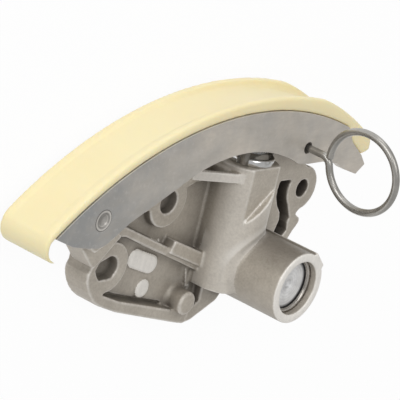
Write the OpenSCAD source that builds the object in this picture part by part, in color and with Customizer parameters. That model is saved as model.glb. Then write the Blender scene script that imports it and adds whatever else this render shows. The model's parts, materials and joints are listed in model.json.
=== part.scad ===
// Timing chain tensioner with a swinging arm: die-cast body, pressed-steel arm, moulded chain shoe,
// hydraulic plunger, reservoir with plug, and the wire pin that locks the arm for fitting.
// Millimetres. X runs along the arm, Y is the way the plunger pushes, Z is up from the mounting face.
// Drawn from the arm's pivot axis (X = 0, Y = 0) and the mounting face (Z = 0); placed() then moves the
// origin to the upper bolt hole.

/* [Chain plane and fits] */
// height of the chain plane above the mounting face
mid_z = 10.7; // [9.5:0.1:12.5]
// radial clearance of parts that slide or turn
run_fit = 0.03; // [0.01:0.01:0.1]
// clearance between moving cheeks and the body
side_gap = 0.3; // [0.2:0.05:0.6]

/* [Chain shoe] */
// centre of the shoe's arc along X
arc_x = 57.6; // [54:0.1:62]
// top of the arm's back above the pivot
arm_top = 24.2; // [22.5:0.1:26]
// radius of the arm's back, on which the shoe lies
arm_r = 114; // [108:0.5:120]
// width of the shoe
shoe_w = 16.8; // [15:0.1:18]
// thickness of the shoe under the chain
shoe_base = 1.9; // [1.5:0.1:3]
// height of a guide flange above the chain floor at the crest's top
flange_h = 1.66; // [1.4:0.02:2.4]
// how much larger the crest's radius is than the arm's
crest_more = 8.5; // [6:0.1:10]
// centre of the crest along X
crest_x = 61.3; // [59:0.1:64]
// how much smaller the radius is on which the flanges run out at the free end
end_less = 16.6; // [15:0.1:18]
// centre of the run-out along X
end_x = 55; // [54:0.1:56.5]
// top of the run-out's circle above the crest
end_rise = 2.5; // [2.2:0.1:3]
// thickness of a guide flange
flange_t = 2.2; // [1.8:0.1:3]
// half angle of the shoe to the right of the arc's top
shoe_right = 27.6; // [26:0.1:30]
// half angle of the shoe to the left of the arc's top
shoe_left = 39.4; // [37:0.1:41]
// radius of the rounded nose at the pivot end
nose_r = 5.3; // [4.8:0.1:5.8]
// depth of the nose's centre below the chain floor
nose_in = 4.9; // [4.4:0.1:5.4]
// angle of the nose to the left of the arc's top
nose_a = 40.1; // [39.5:0.1:40.6]
// wall of the nose's lip
nose_t = 1.3; // [1.1:0.1:1.6]

/* [Arm] */
// width over the two cheeks
arm_w = 17; // [16:0.1:18]
// sheet thickness
sheet_t = 2.5; // [2:0.1:3]
// radius of the lobe round the pivot
lobe_r = 7.6; // [7.3:0.1:8.3]
// radius of the arch on the underside
arch_r = 55.1; // [50:0.1:60]
// top of the arch
arch_top = 13; // [11:0.1:15]
// middle of the arch along X
arch_x = 54.5; // [50:0.1:60]

/* [Pivot] */
// radius of the pivot pin
pin_r = 3; // [2.5:0.1:3.5]
// wall of the pivot bush
bush_t = 1; // [0.8:0.1:1.5]
// radius of the body's pivot lug
lug_r = 6.5; // [5.8:0.1:6.8]

/* [Bolt bosses] */
// radius of the bolt holes
bolt_r = 3.3; // [3.1:0.05:3.6]
// radius of the two plate bosses
boss_r = 7.3; // [6.5:0.1:8]
// height of the plate bosses and the rim
rim_z = 8.5; // [7.5:0.1:10]
// height of the plate floor inside the rim
floor_z = 5.6; // [4.5:0.1:7]
// depth of the lead-in beside the lower left hole
scoop_depth = 2.3; // [1.5:0.1:2.8]
// width of the dark groove along the lower rim
groove_w = 1; // [0.7:0.1:1.3]
// radius of the round pad
pad_r = 2.6; // [2.3:0.1:3]
// round pad along X
pad_x = 39.4; // [38.5:0.1:40.2]
// round pad along Y
pad_y = -29.8; // [-30.4:0.1:-29.2]
// width of the long pad
slot_w = 5.2; // [4.8:0.1:5.4]
// length of the long pad between its round ends
slot_l = 8; // [7:0.1:8.6]
// long pad along X
slot_x = 36.9; // [36:0.1:37.8]
// long pad along Y
slot_y = -21.5; // [-22:0.1:-21]
// radius of the stub
stub_r = 3.4; // [3:0.1:3.7]
// height of the stub
stub_z = 11; // [10:0.1:12]
// lower left hole along X
bolt_a_x = 20.3; // [18:0.1:23]
// lower left hole along Y
bolt_a_y = -20.2; // [-23:0.1:-18]
// upper hole along X
bolt_b_x = 39.2; // [36:0.1:42]
// upper hole along Y
bolt_b_y = -3.7; // [-6:0.1:-1]
// radius of the ear hole
ear_bolt_r = 2.65; // [2.5:0.05:3.1]
// ear hole along X
bolt_c_x = 94.1; // [91:0.1:97]
// ear hole along Y
bolt_c_y = -4.2; // [-7:0.1:-2]
// outer radius of the ear
ear_r = 6.6; // [6:0.1:7.5]
// height of the ear
ear_z = 12; // [10:0.1:14]

/* [Plunger barrel] */
// plunger axis along X
plunger_x = 67.3; // [66:0.1:68]
// plunger radius
plunger_r = 5.5; // [5:0.1:5.7]
// outer radius of the barrel
barrel_r = 8.9; // [8.6:0.1:9.4]
// distance of the barrel's flat from its axis
barrel_flat = 6.7; // [6.6:0.1:7.6]
// height of the flat's slanted ledge at the axis
ledge_y = -4.4; // [-6:0.1:-3]
// slant of the ledge
ledge_a = 40.5; // [35:0.5:45]
// height of the plate's edge beside the barrel
shoulder_y = 3.2; // [2:0.1:4.5]
// height of the gusset beside the barrel
gusset_y = 4.8; // [4:0.1:5.2]
// height of the gusset's slanted front
gusset_t = 2.8; // [2:0.1:3.2]
// top of the barrel
barrel_top = 6.6; // [6.2:0.1:7.4]
// bottom of the barrel
barrel_end = -30; // [-33:0.1:-28]
// bottom of the plunger bore
bore_end = -18; // [-20:0.1:-16]
// radius of the plunger's crown
crown_r = 12; // [9:0.5:14]
// thickness of the ratchet clip
clip_t = 1.2; // [0.9:0.05:1.6]
// height of the ratchet clip
clip_h = 2.2; // [1.6:0.1:2.6]

/* [Reservoir] */
// reservoir axis along X
res_x = 72.8; // [71:0.1:75]
// reservoir axis along Y
res_y = -23.4; // [-25:0.1:-22]
// outer radius
res_r = 10.3; // [9.8:0.1:11]
// radius of the bore for the plug
res_bore = 7.8; // [7.4:0.1:8.1]
// height of the machined end face
res_z = 33; // [30:0.1:36]
// depth of the plug below the end face
plug_depth = 3.7; // [2:0.1:4]
// thickness of the plug
plug_t = 5; // [4:0.1:6]
// floor of the reservoir
res_floor = 14; // [13:0.1:16]
// radius of the oil passages
oil_r = 1.6; // [1.2:0.1:1.8]

/* [Lock pin] */
// radius of the wire
wire_r = 1.05; // [0.9:0.05:1.2]
// outer radius of the pull ring
ring_r = 12.35; // [11:0.05:13]
// height of the middle of the pull ring
ring_z = 38.1; // [36:0.1:41]
// lock hole along X
lock_x = 81.3; // [79:0.1:83]
// lock hole along Y
lock_y = 11.9; // [11:0.1:13]
// radius of the hole in the arm
lock_r = 1.7; // [1.4:0.05:2]
// angle of the pull ring about its shank
ring_turn = 98; // [60:1:120]

/* [Hidden] */
$fn = 96;
arm_z0 = mid_z - arm_w / 2;
arm_z1 = mid_z + arm_w / 2;
in_z0 = arm_z0 + sheet_t;
in_z1 = arm_z1 - sheet_t;
lug_z0 = in_z0 + side_gap;
lug_z1 = in_z1 - side_gap;
web_r = arm_r - sheet_t;
shoe_gap = 0.04;
floor_r = arm_r + shoe_gap + shoe_base;
arc_y = arm_top - arm_r;
crest_top = arm_top + shoe_gap + shoe_base + flange_h;
nose_x = arc_x - (floor_r - nose_in) * sin(nose_a);
nose_y = arc_y + (floor_r - nose_in) * cos(nose_a);
hole_h = arm_w + mid_z;
bush_r = pin_r + run_fit + bush_t;
plug_z1 = res_z - plug_depth;
plug_z0 = plug_z1 - plug_t;
chamber_r = res_bore - 1.1;
snap_wire = 0.7;
seal_wire = 0.75;
crown_gap = 0.1;
clip_room = 0.3;
crown_y = arc_y + sqrt(pow(web_r - crown_gap - crown_r, 2) - pow(plunger_x - arc_x, 2));
crown_edge = crown_y + sqrt(pow(crown_r, 2) - pow(plunger_r, 2));
plunger_end = -14;
hollow_r = 4.2;
hollow_top = 15;
filler_h = 5;
seat_t = 1.8;
seat_hole = 1.2;
ball_r = 1.5;
cage_r = 2.6;
cage_flange = 0.8;
cage_h = 5.4;
cage_t = 0.7;
seat_top = bore_end + seat_t;
ball_y = seat_top + sqrt(pow(ball_r, 2) - pow(seat_hole, 2)) + 0.02;
valve_wire = 0.18;
valve_spring_r = 0.95;
valve_y0 = ball_y + sqrt(pow(ball_r, 2) - pow(valve_spring_r - valve_wire, 2)) + valve_wire + 0.02;
valve_y1 = seat_top + cage_h - cage_t - valve_wire - 0.02;
spring_wire = 0.55;
spring_r = 3.4;
spring_y0 = seat_top + cage_flange + spring_wire;
spring_y1 = hollow_top - filler_h - spring_wire;
strainer_r = 3.5;
strainer_d = 2.4;
strainer_t = 1;
gallery_end = res_y - sqrt(pow(res_r, 2) - pow(res_x - plunger_x, 2));

// Moves the origin from the pivot to the upper bolt hole on the mounting face.
module placed() {
    translate([-bolt_b_x, -bolt_b_y, 0])
        children();
}

// Places a shape drawn along Z onto the plunger axis, with height measured along Y.
module on_plunger(y) {
    translate([plunger_x, y, mid_z])
        rotate([-90, 0, 0])
            children();
}

module slab(z0, z1) {
    translate([0, 0, z0])
        linear_extrude(z1 - z0)
            children();
}

module disc(x, y, r, z0, z1) {
    translate([x, y, z0])
        cylinder(r = r, h = z1 - z0);
}

module plate_2d() {
    polygon([[12.7, -17.2], [13.3, -19.2], [12.3, -21.2], [12.6, -23.4], [14.3, -26.6], [16.6, -29.2],
        [19.2, -31], [27.4, -34.1], [53.6, -41.1], [57.6, -42], [61.1, -41.4], [70.8, -36.9], [76, -30],
        [76, shoulder_y], [48, shoulder_y], [34, -1], [24, -5.5], [17, -9], [16.5, -13.3], [13.6, -14.9]]);
    translate([bolt_a_x, bolt_a_y])
        circle(r = boss_r);
    translate([bolt_b_x, bolt_b_y])
        circle(r = boss_r);
}

// The recess between the diagonal rib and the lower rim.
module lower_pocket_2d() {
    difference() {
        polygon([[16.4, -24.5], [20.5, -28.2], [28, -31], [57.4, -38.4], [63, -36], [63, -28],
            [24.4, -11.9], [19.5, -11.2]]);
        translate([bolt_a_x, bolt_a_y])
            circle(r = boss_r);
    }
}

// The recess between the rib, the upper boss and the barrel.
module upper_pocket_2d() {
    difference() {
        polygon([[22, -8.2], [62, -25], [62, 1], [49, 1], [34, -4.5], [27, -6.6]]);
        translate([bolt_b_x, bolt_b_y])
            circle(r = boss_r);
    }
}

// The groove at the foot of the lower rim.
module groove_2d() {
    polygon([[21, -28.25], [28, -30.88], [49.4, -36.25], [49.4, groove_w - 36.25],
        [28.2, groove_w - 30.88], [21.8, groove_w - 28.5]]);
}

module neck_2d() {
    circle(r = lug_r);
    polygon([[-4.6, -4.6], [3, -10.5], [10, -7], [6, 2.5]]);
}

module neck_low_2d() {
    polygon([[0, -8], [8, -16.5], [9.5, -17.5], [18, -9.5], [14, -6], [5, -3]]);
}

module lock_web_2d() {
    translate([lock_x, lock_y])
        circle(r = 4.2);
    web_x = plunger_x + barrel_r - 0.6;
    web_y = barrel_top - 0.6;
    polygon([[70, -0.5], [70, web_y], [web_x, web_y], [78.5, 15], [84.6, 14.5], [88.5, 7], [93, 2],
        [90, -1.2]]);
}

module ear_2d() {
    translate([bolt_c_x, bolt_c_y])
        circle(r = ear_r);
    polygon([[70, -0.5], [70, 5.8], [90, 5.8], [bolt_c_x, bolt_c_y + ear_r], [90, -1.2]]);
    polygon([[80, -30], [84, -30], [90.5, -24], [94.2, -17.9], [96.6, -14.9], [96.4, -13.5], [94, -12.1],
        [95, -11], [98, -8], [bolt_c_x, bolt_c_y - 3], [88.7, -5], [89.4, -9], [91, -12], [91.5, -12.9],
        [91, -14.3], [91.5, -16.8], [88, -21], [80, -24]]);
    polygon([[74, 0], [82.9, -0.3], [82.4, -3.7], [82.8, -5.9], [84, -8.2], [86.1, -10.6], [86.8, -13],
        [85.5, -17], [74, -17]]);
}

module body_solid() {
    difference() {
        slab(0, rim_z)
            plate_2d();
        slab(floor_z, rim_z + 1)
            lower_pocket_2d();
        slab(floor_z, rim_z + 1)
            upper_pocket_2d();
        slab(floor_z - 2.2, rim_z)
            groove_2d();
    }
    slab(lug_z0, lug_z1)
        neck_2d();
    slab(lug_z0, ear_z)
        neck_low_2d();
    // plunger barrel on its foot, with the flat on its front
    difference() {
        on_plunger(barrel_end)
            cylinder(r = barrel_r, h = barrel_top - barrel_end);
        slab(mid_z + barrel_flat, mid_z + barrel_r + 1)
            translate([plunger_x, ledge_y])
                rotate(ledge_a)
                    translate([-20, 0])
                        square([40, 30]);
    }
    translate([plunger_x - barrel_r, barrel_end, 0])
        cube([2 * barrel_r, barrel_top - barrel_end, mid_z]);
    // gusset between the upper boss and the barrel
    gusset_x = plunger_x - 2;
    gusset_z = mid_z + 5;
    translate([0, gusset_y, 0])
        rotate([90, 0, 0])
            linear_extrude(gusset_t)
                polygon([[46, 0], [46, rim_z], [60.3, gusset_z], [gusset_x, gusset_z], [gusset_x, 0]]);
    // lock lug, ear and the bridges on both sides of the slot
    slab(lug_z0, ear_z)
        lock_web_2d();
    disc(lock_x, lock_y, 4.2, lug_z0, lug_z1);
    slab(0, ear_z)
        ear_2d();
    slab(0, 2.4)
        polygon([[70, -28], [84, -28], [91, -20], [94, -8], [92, 3], [70, 3]]);
    // reservoir with its square corner
    disc(res_x, res_y, res_r, 0, res_z);
    translate([res_x, res_y, floor_z])
        rotate(46)
            translate([0, -3.1, 0])
                cube([res_r + 0.6, 6.2, res_z - floor_z]);
    // stub, label block and skimmed pads
    stub();
    translate([44, -17, floor_z])
        rotate(-21.5)
            translate([0, -1.8, 0])
                cube([17, 3.9, rim_z - floor_z + 1.1]);
    slab(0, floor_z + 1)
        polygon([[55.8, -25.4], [57.3, -25.4], [59.2, -31.6], [57.6, -31.6]]);
    slab(0, floor_z + 0.7)
        pads_2d();
}

module stub() {
    chamfer = 0.5;
    foot = 0.9;
    translate([54.7, -34.6, 0]) {
        cylinder(r = stub_r, h = stub_z - chamfer);
        translate([0, 0, stub_z - chamfer])
            cylinder(r1 = stub_r, r2 = stub_r - chamfer, h = chamfer);
        translate([0, 0, floor_z])
            cylinder(r1 = stub_r + foot, r2 = stub_r, h = foot);
    }
}

module pads_2d() {
    translate([slot_x, slot_y])
        rotate(-19.5) {
            square([slot_l, slot_w], center = true);
            for (s = [-slot_l / 2, slot_l / 2])
                translate([s, 0])
                    circle(r = slot_w / 2);
        }
    translate([pad_x, pad_y])
        circle(r = pad_r);
}

// The lead-in on one side of the lower left hole.
module scoop_2d() {
    translate([bolt_a_x, bolt_a_y])
        polygon([[0, bolt_r], [-4.2, 2.1], [-5.3, 0], [-4.4, -1.7], [-2.9, -bolt_r], [2.6, 0.3 - bolt_r],
            [0, 0]]);
}

module housing() {
    placed() color([0.62, 0.59, 0.55])
        difference() {
            body_solid();
            disc(bolt_a_x, bolt_a_y, bolt_r, -1, hole_h);
            disc(bolt_b_x, bolt_b_y, bolt_r, -1, hole_h);
            disc(bolt_c_x, bolt_c_y, ear_bolt_r, -1, hole_h);
            slab(rim_z - scoop_depth, hole_h)
                scoop_2d();
            // hollow behind the gusset's slanted front
            translate([0, gusset_y + 1, 0])
                rotate([90, 0, 0])
                    linear_extrude(gusset_t + 1.2)
                        polygon([[49, 2.6], [49, rim_z - 0.3], [58, mid_z + 2], [58, 2.6]]);
            disc(0, 0, bush_r, 0, hole_h);
            disc(lock_x, lock_y, wire_r + 0.15, 0, hole_h);
            // plunger bore, clear of the lock lug up to the crown, with room for the clip
            on_plunger(bore_end)
                cylinder(r = plunger_r + run_fit, h = crown_y + crown_r - bore_end);
            on_plunger(barrel_top + run_fit)
                cylinder(r = plunger_r + run_fit + clip_t + clip_room, h = clip_h + clip_room);
            // oil way under the valve and its cross drilling
            on_plunger(gallery_end - 1)
                cylinder(r = oil_r, h = bore_end - gallery_end + 2);
            disc(plunger_x + 1.2, -24, oil_r, mid_z, res_floor + 1);
            // reservoir chamber, plug bore with its ring groove, and the oil inlet
            disc(res_x, res_y, chamber_r, res_floor, res_z);
            disc(res_x, res_y, res_bore, plug_z0, res_z + 1);
            disc(res_x, res_y, res_bore - 0.1 + snap_wire, plug_z1, plug_z1 + 2 * snap_wire + 0.1);
            disc(res_x, res_y, 2, -1, res_floor + 1);
            disc(res_x, res_y, strainer_r, -1, strainer_d);
        }
}

module pivot_bush() {
    placed() color([0.72, 0.53, 0.29])
        translate([0, 0, lug_z0])
            difference() {
                cylinder(r = bush_r, h = lug_z1 - lug_z0);
                translate([0, 0, -1])
                    cylinder(r = pin_r + run_fit, h = arm_w);
            }
}

module pivot_pin() {
    placed() color([0.6, 0.6, 0.6])
        difference() {
            disc(0, 0, pin_r, arm_z0, arm_z1);
            disc(0, 0, pin_r * 0.62, arm_z1 - 0.25, arm_z1 + 1);
            disc(0, 0, pin_r * 0.62, arm_z0 - 1, arm_z0 + 0.25);
        }
}

module cheek_2d() {
    intersection() {
        translate([arc_x, arc_y])
            circle(r = arm_r, $fn = 360);
        difference() {
            union() {
                circle(r = lobe_r);
                polygon([[-16.6, -3.1], [-9.7, -6], [-3, -7.3], [3, -7], [6, -5.2], [10.7, -2], [30.1, 7.1],
                    [78.9, 7.5], [83, 7], [90, 7], [97.1, 5.8], [100.7, 3.8], [107.9, 1.5], [111.3, 4.2],
                    [108.6, 7.2], [102.7, 11.5], [99, 16.3], [99, 40], [-30, 40]]);
            }
            translate([arch_x, arch_top - arch_r])
                circle(r = arch_r, $fn = 360);
        }
    }
}

module lever_arm() {
    placed() color([0.5, 0.51, 0.52])
        difference() {
            slab(arm_z0, arm_z1)
                cheek_2d();
            slab(in_z0, in_z1) {
                translate([arc_x, arc_y])
                    circle(r = web_r, $fn = 360);
                circle(r = lug_r + 1.5);
            }
            disc(0, 0, pin_r, arm_z0 - 1, arm_z1 + 1);
            disc(lock_x, lock_y, lock_r, mid_z, arm_z1 + 1);
        }
}

// The wedge of the plane that the shoe's arc takes up.
module shoe_wedge() {
    translate([arc_x, arc_y])
        polygon([[0, 0], [-140 * sin(shoe_left), 140 * cos(shoe_left)], [0, 160],
            [140 * sin(shoe_right), 140 * cos(shoe_right)]]);
}

module arm_back_2d() {
    translate([arc_x, arc_y])
        circle(r = arm_r + shoe_gap, $fn = 360);
}

module chain_floor_2d() {
    translate([arc_x, arc_y])
        circle(r = floor_r, $fn = 360);
}

// The nose that hooks round the pivot end of the arm.
module nose_2d() {
    difference() {
        translate([nose_x, nose_y])
            circle(r = nose_r);
        translate([nose_x + 0.5, nose_y - 0.5])
            circle(r = nose_r - nose_t + 0.5);
        translate([nose_x, nose_y])
            polygon([[-3.1, 1.6], [-1, 3.9], [-1, nose_r + 3], [nose_r + 1, nose_r + 3],
                [nose_r + 1, -nose_r - 1], [-0.6, -nose_r - 1], [-0.6, -1]]);
    }
}

// The foot that hooks round the far end of the arm.
module foot_2d() {
    polygon([[99.1, 16.35], [102.78, 11.58], [108.65, 7.3], [112, 8.2], [112.2, 10.5], [110.6, 14],
        [101, 22]]);
}

// The part of the plane under the arc on which the shoe runs out at its free end.
module run_out_2d() {
    end_r = arm_r - end_less;
    translate([end_x, crest_top + end_rise - end_r])
        circle(r = end_r, $fn = 360);
    translate([end_x - end_r, crest_top - end_r])
        square([end_r, end_r + 1]);
}

// The strip under the chain with its nose and foot.
module strip_2d() {
    intersection() {
        chain_floor_2d();
        run_out_2d();
        union() {
            difference() {
                shoe_wedge();
                arm_back_2d();
            }
            nose_2d();
            foot_2d();
        }
    }
}

// A guide flange, which is highest past its middle and runs out towards both ends.
module flange_2d() {
    crest_r = arm_r + crest_more;
    intersection() {
        translate([crest_x, crest_top - crest_r])
            circle(r = crest_r, $fn = 360);
        run_out_2d();
        difference() {
            union() {
                shoe_wedge();
                translate([nose_x, nose_y])
                    circle(r = nose_r);
            }
            arm_back_2d();
        }
    }
}

module slide_shoe() {
    placed() color([0.96, 0.9, 0.71]) {
        slab(mid_z - shoe_w / 2, mid_z + shoe_w / 2)
            strip_2d();
        slab(mid_z + shoe_w / 2 - flange_t, mid_z + shoe_w / 2)
            flange_2d();
        slab(mid_z - shoe_w / 2, mid_z - shoe_w / 2 + flange_t)
            flange_2d();
    }
}

module plunger() {
    placed() color([0.78, 0.78, 0.78])
        difference() {
            on_plunger(plunger_end)
                cylinder(r = plunger_r, h = crown_y + crown_r - plunger_end);
            // domed crown
            difference() {
                on_plunger(crown_edge - 0.3)
                    cylinder(r = plunger_r + 1, h = crown_r);
                translate([plunger_x, crown_y, mid_z])
                    sphere(r = crown_r);
            }
            on_plunger(plunger_end - 1)
                cylinder(r = hollow_r, h = hollow_top - plunger_end + 1);
            for (y = [10.2, 12.6, 15, 17.4])
                on_plunger(y)
                    difference() {
                        cylinder(r = plunger_r + 1, h = 0.9);
                        translate([0, 0, -1])
                            cylinder(r = plunger_r - 0.4, h = 3);
                    }
        }
}

module plunger_filler() {
    placed() color([0.2, 0.2, 0.2])
        on_plunger(hollow_top - filler_h)
            cylinder(r = hollow_r, h = filler_h);
}

function coil_point(a, r, y0, pitch) = [r * cos(a), y0 + pitch * a / 360, r * sin(a)];

// Closed tube through rings of points, each with the same number of sides.
module tube(rings, sides) {
    n = len(rings) / sides - 1;
    walls = [for (i = [0 : n - 1])
        for (j = [0 : sides - 1])
            let (k = (j + 1) % sides)
                [i * sides + j, i * sides + k, (i + 1) * sides + k, (i + 1) * sides + j]];
    start = [[for (j = [sides - 1 : -1 : 0]) j]];
    end = [[for (j = [0 : sides - 1]) n * sides + j]];
    polyhedron(points = rings, faces = concat(walls, start, end), convexity = 10);
}

// Helical spring about the plunger axis.
module coil(r, wire, y0, y1, turns, steps, sides) {
    pitch = (y1 - y0) / turns;
    tube([for (i = [0 : turns * steps])
        let (a = i * 360 / steps, c = coil_point(a, r, y0, pitch))
            for (j = [0 : sides - 1])
                let (b = j * 360 / sides)
                    c + [wire * cos(b) * cos(a), wire * sin(b), wire * cos(b) * sin(a)]], sides);
}

module plunger_spring() {
    placed() color([0.45, 0.46, 0.48])
        translate([plunger_x, 0, mid_z])
            coil(spring_r, spring_wire, spring_y0, spring_y1, 9, 20, 8);
}

module ratchet_clip() {
    clip_edge = 0.35;
    placed() color([0.7, 0.7, 0.7])
        on_plunger(barrel_top)
            rotate(215)
                rotate_extrude(angle = 330)
                    translate([plunger_r + run_fit, 0])
                        polygon([[clip_edge, 0], [clip_t - clip_edge, 0], [clip_t, clip_edge],
                            [clip_t, clip_h - clip_edge], [clip_t - clip_edge, clip_h], [clip_edge, clip_h],
                            [0, clip_h - clip_edge], [0, clip_edge]]);
}

module valve_seat() {
    placed() color([0.66, 0.66, 0.66])
        on_plunger(bore_end)
            difference() {
                cylinder(r = plunger_r + run_fit, h = seat_t);
                translate([0, 0, -1])
                    cylinder(r = seat_hole, h = seat_t + 2);
            }
}

module check_ball() {
    placed() color([0.8, 0.8, 0.8])
        translate([plunger_x, ball_y, mid_z])
            sphere(r = ball_r, $fn = 48);
}

module valve_spring() {
    placed() color([0.5, 0.5, 0.52])
        translate([plunger_x, 0, mid_z])
            coil(valve_spring_r, valve_wire, valve_y0, valve_y1, 3, 16, 6);
}

module valve_cage() {
    placed() color([0.6, 0.6, 0.62])
        on_plunger(seat_top)
            difference() {
                union() {
                    cylinder(r = plunger_r - 0.2, h = cage_flange);
                    cylinder(r = cage_r, h = cage_h);
                }
                translate([0, 0, -1])
                    cylinder(r = cage_r - cage_t, h = cage_h - cage_t + 1);
                cylinder(r = 0.6, h = cage_h + 1);
            }
}

module gallery_plug() {
    placed() color([0.66, 0.64, 0.6])
        on_plunger(gallery_end + 0.5)
            cylinder(r = oil_r, h = 3);
}

module reservoir_plug() {
    placed() color([0.78, 0.78, 0.77])
        translate([res_x, res_y, plug_z0])
            difference() {
                cylinder(r = res_bore - run_fit, h = plug_t);
                translate([0, 0, 1.6])
                    difference() {
                        cylinder(r = res_bore + 1, h = 1.7);
                        translate([0, 0, -1])
                            cylinder(r = res_bore - 2 * seal_wire, h = 4);
                    }
                translate([0, 0, plug_t - 0.5])
                    cylinder(r = 1.1, h = 1);
                translate([0, 0, -1])
                    cylinder(r = res_bore - 3, h = 2.2);
            }
}

module plug_seal_ring() {
    placed() color([0.12, 0.12, 0.12])
        translate([res_x, res_y, plug_z0 + 2.45])
            rotate_extrude()
                translate([res_bore - seal_wire, 0])
                    circle(r = seal_wire, $fn = 24);
}

module plug_snap_ring() {
    placed() color([0.5, 0.5, 0.5])
        translate([res_x, res_y, plug_z1 + snap_wire])
            rotate(150)
                rotate_extrude(angle = 325)
                    translate([res_bore - 0.1, 0])
                        circle(r = snap_wire, $fn = 24);
}

module inlet_strainer() {
    placed() color([0.72, 0.72, 0.7])
        translate([res_x, res_y, strainer_d - strainer_t])
            difference() {
                cylinder(r = strainer_r, h = strainer_t);
                for (a = [0 : 60 : 300])
                    rotate(a)
                        translate([1.9, 0, -1])
                            cylinder(r = 0.5, h = strainer_t + 2, $fn = 24);
                translate([0, 0, -1])
                    cylinder(r = 0.5, h = strainer_t + 2, $fn = 24);
            }
}

// The wire runs up the shank, round an elbow and once round the pull ring, all in one upright plane.
module lock_pin() {
    mean_r = ring_r - wire_r;
    elbow = 3;
    turn = acos(elbow / (mean_r + elbow));
    bend_z = ring_z - (mean_r + elbow) * sin(turn);
    tip_z = in_z1 + 0.35;
    tip_taper = 0.4;
    ring_angle = 336;
    sides = 16;
    // each station holds its place in the plane, the wire's heading and its radius
    shank = [[0, tip_z, 90, wire_r - tip_taper], [0, tip_z + tip_taper, 90, wire_r]];
    bend = [for (t = [0 : turn / 8 : turn])
        [elbow - elbow * cos(t), bend_z + elbow * sin(t), 90 - t, wire_r]];
    ring = [for (t = [6 : 6 : ring_angle])
        [mean_r * cos(t - turn), ring_z + mean_r * sin(t - turn), t - turn + 90, wire_r]];
    placed() color([0.62, 0.61, 0.59])
        translate([lock_x, lock_y, 0])
            rotate([90, 0, ring_turn + 180])
                tube([for (q = concat(shank, bend, ring))
                    for (j = [0 : sides - 1])
                        let (b = j * 360 / sides)
                            [q[0] - q[3] * cos(b) * sin(q[2]), q[1] + q[3] * cos(b) * cos(q[2]),
                                q[3] * sin(b)]],
                    sides);
}

housing();
pivot_bush();
pivot_pin();
lever_arm();
slide_shoe();
plunger();
plunger_filler();
plunger_spring();
ratchet_clip();
valve_seat();
check_ball();
valve_spring();
valve_cage();
gallery_plug();
reservoir_plug();
plug_seal_ring();
plug_snap_ring();
inlet_strainer();
lock_pin();
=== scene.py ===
import json
import logging
import math
from dataclasses import dataclass, field
from enum import Enum

import bmesh
import bpy
from mathutils import Matrix, Vector


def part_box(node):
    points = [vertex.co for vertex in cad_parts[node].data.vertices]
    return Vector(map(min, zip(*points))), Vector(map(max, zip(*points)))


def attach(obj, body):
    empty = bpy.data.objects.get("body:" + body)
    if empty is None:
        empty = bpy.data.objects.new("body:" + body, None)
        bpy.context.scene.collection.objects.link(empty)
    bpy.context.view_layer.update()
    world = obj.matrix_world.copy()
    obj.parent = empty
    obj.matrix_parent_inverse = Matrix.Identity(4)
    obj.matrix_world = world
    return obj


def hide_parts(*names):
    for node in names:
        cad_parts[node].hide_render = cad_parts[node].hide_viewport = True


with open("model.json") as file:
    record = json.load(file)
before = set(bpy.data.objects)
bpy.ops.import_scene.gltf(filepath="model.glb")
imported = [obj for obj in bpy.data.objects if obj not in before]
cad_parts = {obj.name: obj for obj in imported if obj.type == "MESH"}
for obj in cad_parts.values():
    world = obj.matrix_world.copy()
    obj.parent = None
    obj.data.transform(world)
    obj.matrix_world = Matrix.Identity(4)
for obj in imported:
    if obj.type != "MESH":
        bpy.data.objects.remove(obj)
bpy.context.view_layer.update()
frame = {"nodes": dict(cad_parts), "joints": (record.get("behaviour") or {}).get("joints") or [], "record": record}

MM = 0.001
SMOOTHING = 0.5
LOG = logging.getLogger("tensioner")

Socket = bpy.types.NodeSocket
Number = float | Socket
Colour = tuple | Socket


class Body(str, Enum):
    """The rigid groups that the new pieces ride on."""

    HOUSING = "tensioner_body"
    ARM = "arm"
    PLUNGER = "plunger_set"
    PIN = "pin"


class Grain(Enum):
    """How a finish is worked: the scale of its grain per metre."""

    CAST = 1500.0
    ROLLED = 900.0
    MOULDED = 260.0
    TURNED = 3200.0


def mount_point(name: str) -> Vector:
    """Place of a mount in the row frame.

    Args:
        name: the mount's name in the record.

    Returns:
        The mount's point in metres.
    """
    for mount in frame["record"]["mounts"]:
        if mount["name"] == name:
            return Vector(mount["pos_m"])
    raise KeyError(name)


def joint_point(name: str) -> Vector:
    """Place of a hinge in the row frame.

    Args:
        name: the joint's name in the record.

    Returns:
        A point on the hinge's axis in metres.
    """
    for joint in frame["joints"]:
        if joint["name"] == name:
            return Vector(joint["pos_m"])
    raise KeyError(name)


PIVOT = joint_point("arm_swing")


def from_pivot(x: float, y: float, z: float) -> Vector:
    """Point given in millimetres from the arm's pivot axis and the mounting face.

    Args:
        x: distance along the arm.
        y: distance towards the chain.
        z: height above the mounting face.

    Returns:
        The point in the row frame, in metres.
    """
    return Vector((PIVOT.x + x * MM, PIVOT.y + y * MM, z * MM))


def to_pivot(point: Vector) -> Vector:
    """Turns a point of the row frame into millimetres from the arm's pivot axis and the mounting face."""
    return (point - from_pivot(0.0, 0.0, 0.0)) / MM


def dimmed(colour: tuple, share: float) -> tuple:
    """Darkens a colour to a share of its brightness."""
    return tuple(c * share for c in colour)


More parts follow.
